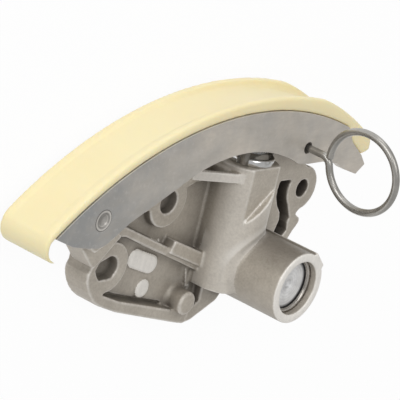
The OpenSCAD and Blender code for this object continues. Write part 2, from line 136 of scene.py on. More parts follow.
class Nodes:
    """A material's node tree with short ways to add to it."""

    def __init__(self, name: str) -> None:
        """Starts a material with a principled shader.

        Args:
            name: the material's name.
        """
        self.material = bpy.data.materials.new(name)
        self.material.use_nodes = True
        self.tree = self.material.node_tree
        self.shader = self.tree.nodes["Principled BSDF"]
        self.coords = self.add("ShaderNodeTexCoord")

    def add(self, kind: str, **values: object) -> bpy.types.Node:
        """Adds a node.

        Args:
            kind: the node's type name.
            values: properties, or inputs by name with underscores for spaces.

        Returns:
            The new node.
        """
        node = self.tree.nodes.new(kind)
        for key, value in values.items():
            if hasattr(node, key):
                setattr(node, key, value)
            else:
                node.inputs[key.replace("_", " ")].default_value = value
        return node

    def link(self, out: Socket, into: Socket) -> None:
        """Joins two sockets."""
        self.tree.links.new(out, into)

    def noise(self, scale: float, detail: float = 3.0, rough: float = 0.55,
              stretch: tuple = (1.0, 1.0, 1.0)) -> Socket:
        """Noise on Object coordinates.

        Args:
            scale: features per metre.
            detail: octaves.
            rough: strength of the finer octaves.
            stretch: scale of the coordinates along each axis.

        Returns:
            The noise's value socket.
        """
        mapping = self.add("ShaderNodeMapping", Scale=stretch)
        self.link(self.coords.outputs["Object"], mapping.inputs["Vector"])
        texture = self.add("ShaderNodeTexNoise", Scale=scale, Detail=detail, Roughness=rough)
        self.link(mapping.outputs["Vector"], texture.inputs["Vector"])
        return texture.outputs["Fac"]

    def ramp(self, value: Socket, low: float, high: float, out_low: float = 0.0,
             out_high: float = 1.0) -> Socket:
        """Maps a value from one range to another, clamped.

        Args:
            value: the socket to map.
            low: value that gives out_low.
            high: value that gives out_high.
            out_low: result at the low end.
            out_high: result at the high end.

        Returns:
            The mapped socket.
        """
        node = self.add("ShaderNodeMapRange", From_Min=low, From_Max=high, To_Min=out_low, To_Max=out_high)
        self.link(value, node.inputs["Value"])
        return node.outputs["Result"]

    def span(self, value: Socket, ends: tuple, out_low: float = 0.0, out_high: float = 1.0,
             start: float = 0.0) -> Socket:
        """Maps a length between two ends, clamped.

        Args:
            value: a length in metres.
            ends: where the change begins and ends, in millimetres from the start.
            out_low: result at the first end.
            out_high: result at the second end.
            start: the place that the ends are measured from, in metres.

        Returns:
            The mapped socket.
        """
        return self.ramp(value, start + ends[0] * MM, start + ends[1] * MM, out_low, out_high)

    def mix(self, factor: Socket, a: Colour, b: Colour) -> Socket:
        """Mixes two colours.

        Args:
            factor: the share of b.
            a: a colour or a socket.
            b: a colour or a socket.

        Returns:
            The mixed colour socket.
        """
        node = self.add("ShaderNodeMix", data_type="RGBA")
        self.link(factor, node.inputs[0])
        for socket, colour in ((node.inputs[6], a), (node.inputs[7], b)):
            if isinstance(colour, Socket):
                self.link(colour, socket)
            else:
                socket.default_value = (*colour, 1.0)
        return node.outputs[2]

    def math(self, operation: str, a: Number, b: Number, clamp: bool = False) -> Socket:
        """Joins two values by a math operation.

        Args:
            operation: the node's operation.
            a: a number or a socket.
            b: a number or a socket.
            clamp: keeps the result from 0 to 1.

        Returns:
            The result socket.
        """
        node = self.add("ShaderNodeMath", operation=operation, use_clamp=clamp)
        for socket, value in zip(node.inputs, (a, b)):
            if isinstance(value, Socket):
                self.link(value, socket)
            else:
                socket.default_value = value
        return node.outputs[0]

    def plus(self, a: Number, b: Number) -> Socket:
        """Adds two shares and keeps the sum from 0 to 1."""
        return self.math("ADD", a, b, clamp=True)

    def times(self, first: Socket, *others: Number) -> Socket:
        """Multiplies values.

        Args:
            first: a socket.
            others: numbers or sockets.

        Returns:
            The product socket.
        """
        for other in others:
            first = self.math("MULTIPLY", first, other)
        return first

    def bump(self, height: Socket, depth: float, strength: float, under: Socket | None = None) -> Socket:
        """Adds a bump to the surface.

        Args:
            height: the height socket, from 0 to 1.
            depth: height in metres at 1.
            strength: share of the bump that shows.
            under: a bump below this one.

        Returns:
            The normal socket.
        """
        node = self.add("ShaderNodeBump", Strength=strength, Distance=depth)
        self.link(height, node.inputs["Height"])
        if under is not None:
            self.link(under, node.inputs["Normal"])
        return node.outputs["Normal"]

    def attribute(self, name: str) -> Socket:
        """Reads a number that the piece carries on its mesh."""
        return self.add("ShaderNodeAttribute", attribute_name=name).outputs["Fac"]

    def curvature(self, low: float, high: float) -> Socket:
        """Finds edges by the surface's curvature.

        Args:
            low: pointiness at which the effect starts; flat ground has 0.5.
            high: pointiness at which it is full.

        Returns:
            A socket from 0 to 1.
        """
        node = self.add("ShaderNodeNewGeometry")
        return self.ramp(node.outputs["Pointiness"], low, high)

    def openness(self, reach: float) -> Socket:
        """Finds corners and pockets, where shade is painted, by how much of the piece lies close above a point.

        Args:
            reach: how far off a wall still counts, in metres.

        Returns:
            A socket from 0 in a deep corner to 1 on open ground.
        """
        node = self.add("ShaderNodeAmbientOcclusion", samples=12, only_local=True, Distance=reach)
        return node.outputs["AO"]

    def place(self, axis: str) -> Socket:
        """Reads one of the Object coordinates.

        Args:
            axis: X, Y or Z.

        Returns:
            The coordinate in metres.
        """
        split = self.add("ShaderNodeSeparateXYZ")
        self.link(self.coords.outputs["Object"], split.inputs["Vector"])
        return split.outputs[axis]

    def radius(self, centre: Vector) -> Socket:
        """Distance from an upright axis.

        Args:
            centre: a point on the axis, in metres.

        Returns:
            The distance in metres.
        """
        across = self.math("SUBTRACT", self.place("X"), centre.x)
        along = self.math("SUBTRACT", self.place("Y"), centre.y)
        squares = (self.math("POWER", across, 2.0), self.math("POWER", along, 2.0))
        return self.math("SQRT", self.math("ADD", *squares), 0.0)

    def rings(self, centre: Vector, pitch: float) -> Socket:
        """Turning marks: fine rings about an upright axis.

        Args:
            centre: a point on the axis, in metres.
            pitch: distance between rings in metres.

        Returns:
            A socket from -1 to 1.
        """
        return self.math("SINE", self.times(self.radius(centre), math.tau / pitch), 0.0)

    def set(self, name: str, value: Colour | float) -> None:
        """Sets or links an input of the shader.

        Args:
            name: the input's name.
            value: a number, a colour or a socket.
        """
        socket = self.shader.inputs[name]
        if isinstance(value, Socket):
            self.link(value, socket)
        elif isinstance(value, tuple):
            socket.default_value = (*value, 1.0)
        else:
            socket.default_value = value


@dataclass(frozen=True)
class CastFinish:
    """Blasted die casting with skimmed faces, which an attribute marks along with the barrel's painted highlight.
    Its edges are lightened as rubbed edges and painted highlight together, and it has painted shade in its
    pockets, slot and void and on the reservoir's wall, and a painted highlight on the fillet round the reservoir's
    foot.

    Lengths are in millimetres, and each pair is where a change begins and ends. Heights are above the
    mounting face, radii about the reservoir's axis, above and below from that axis, and x and y from the
    arm's pivot. Clouds, blotches and streaks are counted per metre.
    """

    name: str = "cast_alloy"
    dark: tuple = (0.415, 0.370, 0.310)
    light: tuple = (0.680, 0.625, 0.540)
    # Light colour of rubbed edges and of painted highlights.
    edge: tuple = (0.90, 0.865, 0.81)
    # Dark colour that the painted shade on the plate, in the pockets and on the reservoir's wall mixes towards.
    shade_colour: tuple = (0.078, 0.066, 0.056)
    machined: tuple = (0.95, 0.912, 0.85)
    roughness: float = 0.44
    metallic: float = 0.3
    clouds: float = 95.0
    blotches: float = 430.0
    streaks: float = 600.0
    blotch_depth: float = 0.3
    grain_depth: float = 0.14
    plate_shade: float = 0.09
    plate_height: tuple = (8.5, 12.0)
    reservoir_shade: float = 0.58
    reservoir_shade_least: float = 0.03
    reservoir_shade_above: tuple = (4.0, 9.5)
    reservoir_shade_below: tuple = (1.0, -8.0)
    reservoir_shade_radius: tuple = (11.6, 12.3)
    fillet_highlight: float = 0.6
    fillet_highlight_inner: tuple = (12.1, 12.6)
    fillet_highlight_outer: tuple = (13.1, 14.6)
    fillet_highlight_height: tuple = (13.0, 16.0)
    fillet_highlight_above: tuple = (0.0, 6.0)
    shade_reach: float = 11.0
    pocket_height: tuple = (6.0, 11.5)
    channel_height: tuple = (4.5, 5.8)
    slot_x: tuple = (75.0, 78.0)
    void_x: tuple = (62.0, 65.0)
    void_y: tuple = (4.5, 6.5)

    def build(self) -> bpy.types.Material:
        """Makes the material.

        Returns:
            The material.
        """
        n = Nodes(self.name)
        blotch = n.noise(self.blotches)
        grain = n.noise(Grain.CAST.value, rough=0.65)
        skin = self.painted_reservoir_light(n, self.cast_skin(n, blotch, grain))
        # Painted shade: corners, pockets, the ear's slot and the void behind the gusset are darkened towards the
        # shade colour.
        skin = n.mix(self.painted_shade(n), skin, self.shade_colour)
        # Edges lightened by curvature: rubbed edges together with a painted highlight.
        rub_and_highlight = n.times(n.curvature(0.512, 0.55), n.ramp(blotch, 0.25, 0.6, 0.4, 0.85))
        skin = n.mix(rub_and_highlight, skin, self.edge)
        # The mark lightens skimmed and rubbed faces and paints the barrel's highlight.
        skim_and_sheen_share = n.ramp(n.attribute("machined"), 0.2, 0.8)
        n.set("Base Color", n.mix(skim_and_sheen_share, skin, self.cut_face(n, grain)))
        n.set("Metallic", n.ramp(skim_and_sheen_share, 0.0, 1.0, self.metallic, self.metallic * 0.4))
        n.set("Roughness", n.ramp(grain, 0.2, 0.8, self.roughness - 0.07, self.roughness + 0.08))
        relief = n.bump(blotch, self.blotch_depth * MM, 0.12)
        n.set("Normal", n.bump(grain, self.grain_depth * MM, 0.3, relief))
        return n.material

    def cast_skin(self, n: Nodes, blotch: Socket, grain: Socket) -> Socket:
        """Mottles the cast skin, a little darker down on the plate.

        Args:
            n: the material's nodes.
            blotch: coarse noise.
            grain: fine noise.

        Returns:
            The skin's colour.
        """
        cloud = n.noise(self.clouds, detail=4.0)
        tone = n.plus(n.ramp(cloud, 0.3, 0.7, 0.05, 0.45), n.ramp(blotch, 0.3, 0.7, 0.0, 0.2))
        tone = n.plus(tone, n.ramp(grain, 0.3, 0.7, -0.12, 0.3))
        low = n.span(n.place("Z"), self.plate_height, self.plate_shade, 0.0)
        return n.mix(low, n.mix(tone, self.dark, self.light), self.shade_colour)

    def painted_reservoir_light(self, n: Nodes, skin: Socket) -> Socket:
        """Paints shade on the reservoir's wall above and below its axis, and a painted highlight on the fillet
        round its foot.

        Args:
            n: the material's nodes.
            skin: the cast skin's colour.

        Returns:
            The colour with painted shade and highlight.
        """
        centre = mount_point("oil_inlet")
        radius, along = n.radius(centre), n.place("Y")
        above = n.span(along, self.reservoir_shade_above, self.reservoir_shade_least, self.reservoir_shade, centre.y)
        below = n.span(along, self.reservoir_shade_below, self.reservoir_shade_least, self.reservoir_shade * 0.6, centre.y)
        wall = n.span(radius, self.reservoir_shade_radius, 1.0, 0.0)
        # Painted shade on the reservoir's wall, darkest on its upper side.
        skin = n.mix(n.times(n.math("MAXIMUM", above, below), wall), skin, self.shade_colour)
        # Painted highlight on the fillet round the reservoir's foot.
        fillet_highlight = n.times(n.span(radius, self.fillet_highlight_inner), n.span(radius, self.fillet_highlight_outer, 1.0, 0.0),
                       n.span(n.place("Z"), self.fillet_highlight_height, 0.0, self.fillet_highlight),
                       n.span(along, self.fillet_highlight_above, 0.15, 1.0, centre.y))
        return n.mix(fillet_highlight, skin, self.edge)

    def painted_shade(self, n: Nodes) -> Socket:
        """Finds where shade is painted: in the plate's pockets, in the ear's slot and behind the gusset.

        Args:
            n: the material's nodes.

        Returns:
            The share of painted shade.
        """
        across, along, height = n.place("X"), n.place("Y"), n.place("Z")
        # Darker where the piece closes in around a point: painted shade.
        air = n.openness(self.shade_reach * MM)
        low = n.times(n.span(height, self.pocket_height, 0.95, 0.3),
                      n.span(height, self.channel_height, 0.5, 1.0))
        pockets = n.times(n.ramp(air, 0.15, 0.95, 1.0, 0.0), low)
        slot = n.times(n.ramp(air, 0.3, 0.8, 0.95, 0.0), n.span(across, self.slot_x, start=PIVOT.x))
        void = n.times(n.ramp(air, 0.3, 0.95, 0.9, 0.0), n.span(along, self.void_y, start=PIVOT.y),
                       n.span(across, self.void_x, 1.0, 0.0, PIVOT.x))
        return n.math("MAXIMUM", n.math("MAXIMUM", pockets, slot), void)

    def cut_face(self, n: Nodes, grain: Socket) -> Socket:
        """Streaks the skimmed faces along the cutter's path.

        Args:
            n: the material's nodes.
            grain: fine noise.

        Returns:
            The skimmed faces' colour.
        """
        streak = n.ramp(n.noise(self.streaks, rough=0.6, stretch=(1.0, 0.12, 1.0)), 0.3, 0.7, 0.7, 1.0)
        streak = n.times(streak, n.ramp(grain, 0.3, 0.7, 0.75, 1.0))
        return n.mix(streak, dimmed(self.machined, 0.62), self.machined)


@dataclass(frozen=True)
class SheetSteelFinish:
    """Tumbled pressed steel, cooler at the pivot end, rubbed bright where the attribute worn marks it.

    The change from cool to warm is given in millimetres along the arm from its pivot, and the grain's depth
    in millimetres. Clouds and scuffs are counted per metre.
    """

    name: str = "pressed_steel"
    warm: tuple = (0.710, 0.652, 0.572)
    cool: tuple = (0.360, 0.364, 0.362)
    edge: tuple = (0.82, 0.80, 0.765)
    cool_to_warm: tuple = (-12.0, 46.0)
    clouds: float = 70.0
    scuffs: float = 260.0
    grain_depth: float = 0.08
    worn: float = 0.3
    roughness: float = 0.4
    metallic: float = 0.55

    def build(self) -> bpy.types.Material:
        """Makes the material.

        Returns:
            The material.
        """
        n = Nodes(self.name)
        cloud = n.noise(self.clouds, detail=4.0, rough=0.6)
        scuff = n.noise(self.scuffs, detail=4.0, rough=0.7, stretch=(0.35, 1.0, 1.0))
        grain = n.noise(Grain.ROLLED.value, rough=0.6)
        along = n.span(n.place("X"), self.cool_to_warm, 0.0, 0.8, PIVOT.x)
        skin = n.mix(n.plus(along, n.ramp(cloud, 0.3, 0.7, -0.3, 0.3)), self.cool, self.warm)
        skin = n.mix(n.ramp(scuff, 0.35, 0.7, 0.0, 0.42), skin, dimmed(self.warm, 0.58))
        skin = n.mix(n.ramp(grain, 0.55, 0.75, 0.0, 0.18), skin, self.edge)
        n.set("Base Color", n.mix(n.times(n.attribute("worn"), self.worn), skin, self.edge))
        n.set("Metallic", self.metallic)
        n.set("Roughness", n.ramp(cloud, 0.25, 0.75, self.roughness - 0.06, self.roughness + 0.1))
        n.set("Normal", n.bump(grain, self.grain_depth * MM, 0.2))
        return n.material


@dataclass(frozen=True)
class NylonFinish:
    """Cream moulded nylon, a little translucent.

    The glow's depth is in metres for each colour, the grain's in millimetres. Clouds are counted per metre.
    """

    name: str = "cream_nylon"
    pale: tuple = (0.930, 0.822, 0.515)
    deep: tuple = (0.905, 0.765, 0.440)
    roughness: float = 0.36
    glow: float = 0.25
    glow_scale: float = 0.6
    glow_depth: tuple = (0.004, 0.003, 0.0015)
    clouds: float = 38.0
    grain_depth: float = 0.1

    def build(self) -> bpy.types.Material:
        """Makes the material.

        Returns:
            The material.
        """
        n = Nodes(self.name)
        cloud = n.noise(self.clouds, detail=2.0)
        grain = n.noise(Grain.MOULDED.value)
        n.set("Base Color", n.mix(n.ramp(cloud, 0.3, 0.7, 0.0, 0.5), self.pale, self.deep))
        n.set("Roughness", n.ramp(grain, 0.2, 0.8, self.roughness - 0.04, self.roughness + 0.06))
        n.set("Subsurface Weight", self.glow)
        n.set("Subsurface Scale", self.glow_scale)
        n.shader.inputs["Subsurface Radius"].default_value = self.glow_depth
        n.set("Normal", n.bump(grain, self.grain_depth * MM, 0.08))
        return n.material


@dataclass(frozen=True)
class RivetFinish:
    """The riveted head of the pivot pin, with painted shade and highlight in rings across it.

    Each ring of painted shade and highlight is its outer radius in millimetres and its brightness. Specks of dirt
    are counted per metre.
    """

    name: str = "rivet_steel"
    colour: tuple = (0.66, 0.63, 0.585)
    rings: tuple = ((1.55, 0.62), (1.75, 1.0), (2.25, 0.5), (2.75, 1.0), (3.2, 0.25))
    blend: float = 0.15
    specks: float = 700.0
    dirt: float = 0.3
    roughness: float = 0.36
    metallic: float = 0.4

    def build(self) -> bpy.types.Material:
        """Makes the material.

        Returns:
            The material.
        """
        n = Nodes(self.name)
        radius = n.radius(PIVOT)
        clean = n.ramp(n.noise(self.specks), 0.3, 0.7, 0.8, 1.0)
        # Rings of painted shade and highlight across the rivet's head, by radius from the pivot.
        shade = dimmed(self.colour, self.rings[0][1])
        for (edge, _), (_, tone) in zip(self.rings, self.rings[1:]):
            step = n.span(radius, (edge - self.blend, edge + self.blend))
            shade = n.mix(step, shade, dimmed(self.colour, tone))
        n.set("Base Color", n.mix(clean, dimmed(self.colour, self.dirt), shade))
        n.set("Metallic", self.metallic)
        n.set("Roughness", self.roughness)
        return n.material


@dataclass(frozen=True)
class PlugFinish:
    """The turned and handled face of the reservoir's plug, with a painted shadow where it meets the bore.

    The painted shadow's radii and the pitch of the turning marks are in millimetres. Clouds are counted per metre.
    """

    name: str = "turned_plug"
    colour: tuple = (0.96, 0.96, 0.955)
    smudge: tuple = (0.66, 0.66, 0.66)
    shade: tuple = (0.05, 0.05, 0.05)
    shadow_rim: tuple = (6.1, 7.0)
    pitch: float = 0.9
    clouds: float = 420.0
    roughness: float = 0.36
    metallic: float = 0.15

    def build(self) -> bpy.types.Material:
        """Makes the material.

        Returns:
            The material.
        """
        n = Nodes(self.name)
        centre = mount_point("oil_inlet")
        cloud = n.ramp(n.noise(self.clouds, detail=4.0, rough=0.65), 0.35, 0.65)
        marks = n.ramp(n.rings(centre, self.pitch * MM), -1.0, 1.0, 0.0, 0.25)
        face = n.mix(n.plus(n.times(cloud, 0.6), marks), self.colour, self.smudge)
        # Painted shadow round the plug's edge, where it meets the bore.
        n.set("Base Color", n.mix(n.span(n.radius(centre), self.shadow_rim), face, self.shade))
        n.set("Metallic", self.metallic)
        n.set("Roughness", self.roughness)
        return n.material


@dataclass(frozen=True)
class PlainFinish:
    """A bare metal, rubber or plastic, by its colour, gloss and grain.

    The grain's depth is in millimetres. Clouds are counted per metre.
    """

    name: str
    colour: tuple
    roughness: float
    metallic: float = 1.0
    grain: Grain = Grain.TURNED
    spread: float = 0.3
    relief: float = 0.2
    clouds: float = 240.0
    grain_depth: float = 0.03

    def build(self) -> bpy.types.Material:
        """Makes the material.

        Returns:
            The material.
        """
        n = Nodes(self.name)
        cloud = n.noise(self.clouds)
        grain = n.noise(self.grain.value, rough=0.6)
        shade = dimmed(self.colour, 1.0 - self.spread)
        n.set("Base Color", n.mix(n.ramp(cloud, 0.3, 0.7), shade, self.colour))
        n.set("Metallic", self.metallic)
        n.set("Roughness", n.ramp(grain, 0.2, 0.8, self.roughness * 0.8, self.roughness * 1.25))
        n.set("Normal", n.bump(grain, self.grain_depth * MM, self.relief))
        return n.material


class SmallFinish(Enum):
    """The finishes of the small pieces."""

    WIRE = PlainFinish("lock_wire", (0.46, 0.445, 0.415), 0.3, 0.9, Grain.ROLLED, relief=0.0)
    GROUND = PlainFinish("ground_steel", (0.78, 0.78, 0.77), 0.14)
    SPRING = PlainFinish("spring_steel", (0.30, 0.31, 0.32), 0.35)
    BRONZE = PlainFinish("bush_bronze", (0.52, 0.33, 0.13), 0.35)
    PLUG = PlugFinish()
    RING = PlainFinish("ring_steel", (0.60, 0.565, 0.52), 0.26)
    RIVET = RivetFinish()
    RUBBER = PlainFinish("seal_rubber", (0.015, 0.015, 0.015), 0.6, 0.0)
    FILLER = PlainFinish("filler_plastic", (0.03, 0.03, 0.03), 0.5, 0.0)


def merged_copy(node: str) -> bmesh.types.BMesh:
    """Copies a CAD node's mesh and merges its loose triangles.

    Args:
        node: the node's name.

    Returns:
        A closed bmesh, which new_piece frees.
    """
    mesh = bmesh.new()
    mesh.from_mesh(frame["nodes"][node].data)
    bmesh.ops.remove_doubles(mesh, verts=mesh.verts, dist=2e-6)
    return mesh


def new_piece(name: str, mesh: bmesh.types.BMesh, material: bpy.types.Material) -> bpy.types.Object:
    """Makes an object at the origin from a bmesh and frees the bmesh.

    Args:
        name: the piece's name.
        mesh: its shape in the row frame.
        material: its finish.

    Returns:
        The object.
    """
    data = bpy.data.meshes.new(name)
    mesh.to_mesh(data)
    mesh.free()
    data.materials.clear()
    data.materials.append(material)
    piece = bpy.data.objects.new(name, data)
    bpy.context.scene.collection.objects.link(piece)
    return piece


def apply_modifiers(piece: bpy.types.Object) -> None:
    """Turns a piece's modifiers into its mesh.

    Args:
        piece: the object, whose old mesh is removed.
    """
    bpy.context.view_layer.update()
    shaped = piece.evaluated_get(bpy.context.evaluated_depsgraph_get())
    data = bpy.data.meshes.new_from_object(shaped)
    old = piece.data
    piece.modifiers.clear()
    piece.data = data
    data.name = piece.name
    bpy.data.meshes.remove(old)


def shade_smooth(piece: bpy.types.Object, angle: float = math.pi) -> None:
    """Shades a piece smooth, with sharp edges above an angle.

    Args:
        piece: the object.
        angle: the sharpest smooth edge, in radians.
    """
    piece.data.shade_smooth()
    if angle < math.pi:
        piece.data.set_sharp_from_angle(angle=angle)


def stand_in(piece: bpy.types.Object, node: str, body: Body) -> bpy.types.Object:
    """Puts a piece on a body in place of a CAD node and reports it.

    Args:
        piece: the finished object.
        node: the CAD node that it stands for.
        body: the body that it moves with.

    Returns:
        The piece.
    """
    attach(piece, body.value)
    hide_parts(node)
    LOG.info("%s: %d faces", piece.name, len(piece.data.polygons))
    return piece


@dataclass
class Rounded:
    """A moulded or cast piece: its solid with every edge blended by a voxel skin of a size in millimetres."""

    node: str
    body: Body
    slot: str
    voxel: float
    passes: int
    faces: int = 0

    def build(self, material: bpy.types.Material) -> bpy.types.Object:
        """Makes the blended piece in place of its node.

        Args:
            material: the piece's finish.

        Returns:
            The piece.
        """
        piece = new_piece(f"{self.node}_skin", merged_copy(self.node), material)
        skin = piece.modifiers.new("skin", "REMESH")
        skin.mode = "VOXEL"
        skin.voxel_size = self.voxel * MM
        blend = piece.modifiers.new("blend", "SMOOTH")
        blend.factor = SMOOTHING
        blend.iterations = self.passes
        apply_modifiers(piece)
        self.finish_skin(piece)
        triangles = 2 * len(piece.data.polygons)
        if self.faces and triangles > self.faces:
            thin = piece.modifiers.new("thin", "DECIMATE")
            thin.ratio = self.faces / triangles
            apply_modifiers(piece)
        shade_smooth(piece)
        return stand_in(piece, self.node, self.body)

    def finish_skin(self, piece: bpy.types.Object) -> None:
        """Leaves the skin as it is, unless a kind of piece has more to blend."""


@dataclass
class Casting(Rounded):
    """The die-cast body, with its skimmed and rubbed faces and the barrel's painted highlight marked for the
    finish.

    Places are in millimetres from the arm's pivot and the mounting face. The gusset and the ledge get the
    marks of rubbed faces, the barrel the mark of its painted highlight, and a skimmed face gets 1.
    """

    node: str = "housing"
    body: Body = Body.HOUSING
    slot: str = "casting"
    voxel: float = 0.36
    passes: int = 4
    faces: int = 180000
    skim_depth: float = 0.4
    pads: tuple = ((36.9, -21.5, 6.8), (39.4, -29.8, 2.8))
    pad_z: float = 6.3
    pad_depth: float = 0.32
    gusset: tuple = (46.5, 60.5, 2.0, 4.9)
    gusset_slant: tuple = (46.0, 8.5, 0.5035)
    gusset_rub: float = 0.55
    ledge: tuple = (67.3, -4.4, 17.4)
    ledge_slant: float = math.radians(40.5)
    ledge_length: float = 5.6
    ledge_width: float = 0.42
    ledge_rub: float = 0.6
    barrel: tuple = (67.3, 10.7, 8.9)
    barrel_depth: float = 0.5
    barrel_side: float = 0.6
    barrel_sheen: float = 0.37
    barrel_shade_fade: float = 4.0
    barrel_shade_limits: tuple = (6.5, -11.0)
    reservoir: tuple = (72.8, -23.4, 10.3)
    fillet: float = 3.2
    fillet_passes: int = 70

    def build(self, material: bpy.types.Material) -> bpy.types.Object:
        """Makes the casting and marks its skimmed and rubbed faces and the barrel's painted highlight.

        Args:
            material: the cast finish.

        Returns:
            The piece.
        """
        piece = super().build(material)
        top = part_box(self.node)[1].z / MM
        # The mark holds skimmed faces, rubbed faces and the barrel's painted highlight.
        marks = piece.data.attributes.new("machined", "FLOAT", "POINT")
        marks.data.foreach_set("value", [self.skimmed(v, top) for v in piece.data.vertices])
        return piece

    def finish_skin(self, piece: bpy.types.Object) -> None:
        """Blends the corner between barrel and reservoir with a large fillet.

        Args:
            piece: the voxel skin.
        """
        group = piece.vertex_groups.new(name="fillet")
        centre_x, centre_y, reservoir_r = self.reservoir
        for vertex in piece.data.vertices:
            x, y, z = to_pivot(vertex.co)
            off_reservoir = abs(math.hypot(x - centre_x, y - centre_y) - reservoir_r)
            far = max(off_reservoir, self.off_barrel(x, z))
            if far < self.fillet:
                group.add([vertex.index], 1.0 - far / self.fillet, "REPLACE")
        blend = piece.modifiers.new("fillet", "SMOOTH")
        blend.factor = SMOOTHING
        blend.iterations = self.fillet_passes
        blend.vertex_group = group.name
        apply_modifiers(piece)
        piece.vertex_groups.clear()

    def skimmed(self, vertex: bpy.types.MeshVertex, top: float) -> float:
        """Tells whether a point lies on a skimmed or rubbed face, or under the barrel's painted highlight.

        Args:
            vertex: a point of the skin.
            top: height of the reservoir's end face in millimetres.

        Returns:
            1 on a skimmed face, less on a rubbed one and on the barrel's painted highlight, which gives way to
            painted shade near the plate, 0 on the cast skin.
        """
        x, y, z = to_pivot(vertex.co)
        if z > top - self.skim_depth or self.on_pad(x, y, z):
            return 1.0
        if self.on_gusset(x, y, z):
            return self.gusset_rub
        if self.on_ledge(x, y, z):
            return self.ledge_rub
        # Painted highlight on the barrel's round wall; it gives way to painted shade close to the plate on the
        # barrel's upper part.
        if self.off_barrel(x, z) < self.barrel_depth and abs(vertex.normal.y) < self.barrel_side:
            low, above = self.barrel_shade_limits
            lit = max(z - low, above - y) / self.barrel_shade_fade
            return self.barrel_sheen * min(1.0, max(0.0, lit))
        return 0.0

    def off_barrel(self, x: float, z: float) -> float:
        """Distance of a point from the barrel's round wall."""
        axis_x, axis_z, barrel_r = self.barrel
        return abs(math.hypot(x - axis_x, z - axis_z) - barrel_r)

    def on_pad(self, x: float, y: float, z: float) -> bool:
        """Tells whether a point lies on one of the plate's skimmed pads."""
        level = abs(z - self.pad_z) < self.pad_depth
        return level and any(math.hypot(x - pad_x, y - pad_y) < r for pad_x, pad_y, r in self.pads)

    def on_gusset(self, x: float, y: float, z: float) -> bool:
        """Tells whether a point lies on the gusset's sloping face.

        Args:
            x: distance along the arm.
            y: distance towards the chain.
            z: height above the mounting face.

        Returns:
            True on the face.
        """
        x0, x1, y0, y1 = self.gusset
        start, height, rise = self.gusset_slant
        return x0 < x < x1 and y0 < y < y1 and abs(z - height - (x - start) * rise) < self.skim_depth

    def on_ledge(self, x: float, y: float, z: float) -> bool:
        """Tells whether a point lies on the slanting edge of the barrel's flat.

        Args:
            x: distance along the arm.
            y: distance towards the chain.
            z: height above the mounting face.

        Returns:
            True on the edge.
        """
        off_x, off_y = x - self.ledge[0], y - self.ledge[1]
        across = off_y * math.cos(self.ledge_slant) - off_x * math.sin(self.ledge_slant)
        level = abs(z - self.ledge[2]) < self.skim_depth
        return level and abs(across) < self.ledge_width and abs(off_x) < self.ledge_length


@dataclass
class ChainShoe(Rounded):
    """The cream chain shoe with rounded flanges."""

    node: str = "slide_shoe"
    body: Body = Body.ARM
    slot: str = "shoe_nylon"
    voxel: float = 0.4
    passes: int = 14


@dataclass
class Arm:
    """The pressed arm, with its edges broken by a length in millimetres."""

    node: str = "lever_arm"
    edge_break: float = 0.25
    flat: float = math.radians(0.5)
    sharp: float = math.radians(40.0)
    smooth: float = math.radians(25.0)

    def build(self, material: bpy.types.Material) -> bpy.types.Object:
        """Makes the arm with rounded sheet edges in place of its node.

        Args:
            material: the steel finish.

        Returns:
            The piece.
        """
        mesh = merged_copy(self.node)
        bmesh.ops.dissolve_limit(mesh, angle_limit=self.flat, verts=mesh.verts, edges=mesh.edges)
        edges = [e for e in mesh.edges if len(e.link_faces) == 2 and e.calc_face_angle() > self.sharp]
        worn = mesh.faces.layers.float.new("worn")
        made = bmesh.ops.bevel(mesh, geom=edges, offset=self.edge_break * MM, offset_type="OFFSET",
                               segments=2, profile=0.5, affect="EDGES", clamp_overlap=True, material=-1)
        for face in made["faces"]:
            face[worn] = 1.0
        piece = new_piece(f"{self.node}_skin", mesh, material)
        shade_smooth(piece, self.smooth)
        return stand_in(piece, self.node, Body.ARM)


